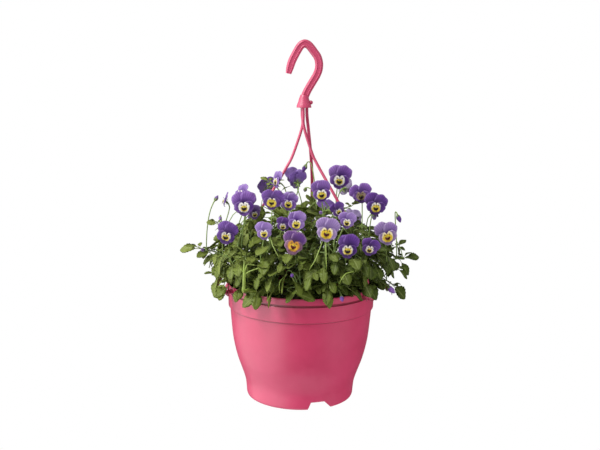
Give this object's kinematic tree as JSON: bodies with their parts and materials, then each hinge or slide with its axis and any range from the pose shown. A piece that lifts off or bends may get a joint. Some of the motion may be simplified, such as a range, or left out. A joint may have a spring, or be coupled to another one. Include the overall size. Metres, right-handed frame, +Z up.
{
  "type": "viola hanging basket",
  "caption": "Moulded hanging pot of compost and flowering violas, held from its rim by three straps that meet under a moulded hook.",
  "frame": {"origin": "the inside of the hook's bend, where the basket hangs", "axes": "+Z up along the line the basket hangs on, -Y towards the side with most blooms, +X to the right of that side"},
  "size_m": [0.4098, 0.3092, 0.598],
  "materials": {
    "pot_plastic": "satin moulded plastic",
    "hanger_plastic": "satin moulded plastic",
    "soil": "moist crumbly compost",
    "foliage": "soft leaf, faintly waxy",
    "petals_purple": "velvety petal",
    "petals_violet": "velvety petal",
    "petals_lilac": "velvety petal",
    "petals_pale": "velvety petal",
    "petals_tawny": "velvety petal"
  },
  "bodies": {
    "root": {"pot": "pot_plastic", "hook": "hanger_plastic", "strap_left": "hanger_plastic", "strap_right": "hanger_plastic", "strap_back": "hanger_plastic", "soil": "soil", "plant_left": "foliage", "plant_front_left": "foliage", "plant_front_right": "foliage", "plant_right": "foliage", "plant_back_right": "foliage", "plant_back_left": "foliage", "plant_centre": "foliage", "bloom_01": "petals_purple", "bloom_02": "petals_lilac", "bloom_03": "petals_violet", "bloom_04": "petals_lilac", "bloom_05": "petals_violet", "bloom_06": "petals_lilac", "bloom_07": "petals_purple", "bloom_08": "petals_purple", "bloom_09": "petals_purple", "bloom_10": "petals_violet", "bloom_11": "petals_lilac", "bloom_12": "petals_violet", "bloom_13": "petals_pale", "bloom_14": "petals_lilac", "bloom_15": "petals_tawny", "bloom_16": "petals_lilac", "bloom_17": "petals_violet", "bloom_18": "petals_violet", "bloom_19": "petals_violet", "bloom_20": "petals_pale", "bloom_21": "petals_purple", "bloom_22": "petals_lilac", "bloom_23": "petals_violet", "bloom_24": "petals_purple", "bloom_25": "petals_violet", "bloom_26": "petals_pale", "bloom_27": "petals_purple", "bloom_28": "petals_violet", "bloom_29": "petals_lilac", "bloom_30": "petals_violet", "bloom_31": "petals_purple", "bloom_32": "petals_lilac", "bloom_33": "petals_purple", "bud_01": "petals_violet", "bud_02": "petals_violet", "bud_03": "petals_lilac", "bud_04": "petals_lilac", "bud_05": "petals_purple", "bud_06": "petals_lilac", "bud_07": "petals_violet", "bud_08": "petals_violet", "bud_09": "petals_lilac", "bud_10": "petals_violet"}
  },
  "joints": []
}
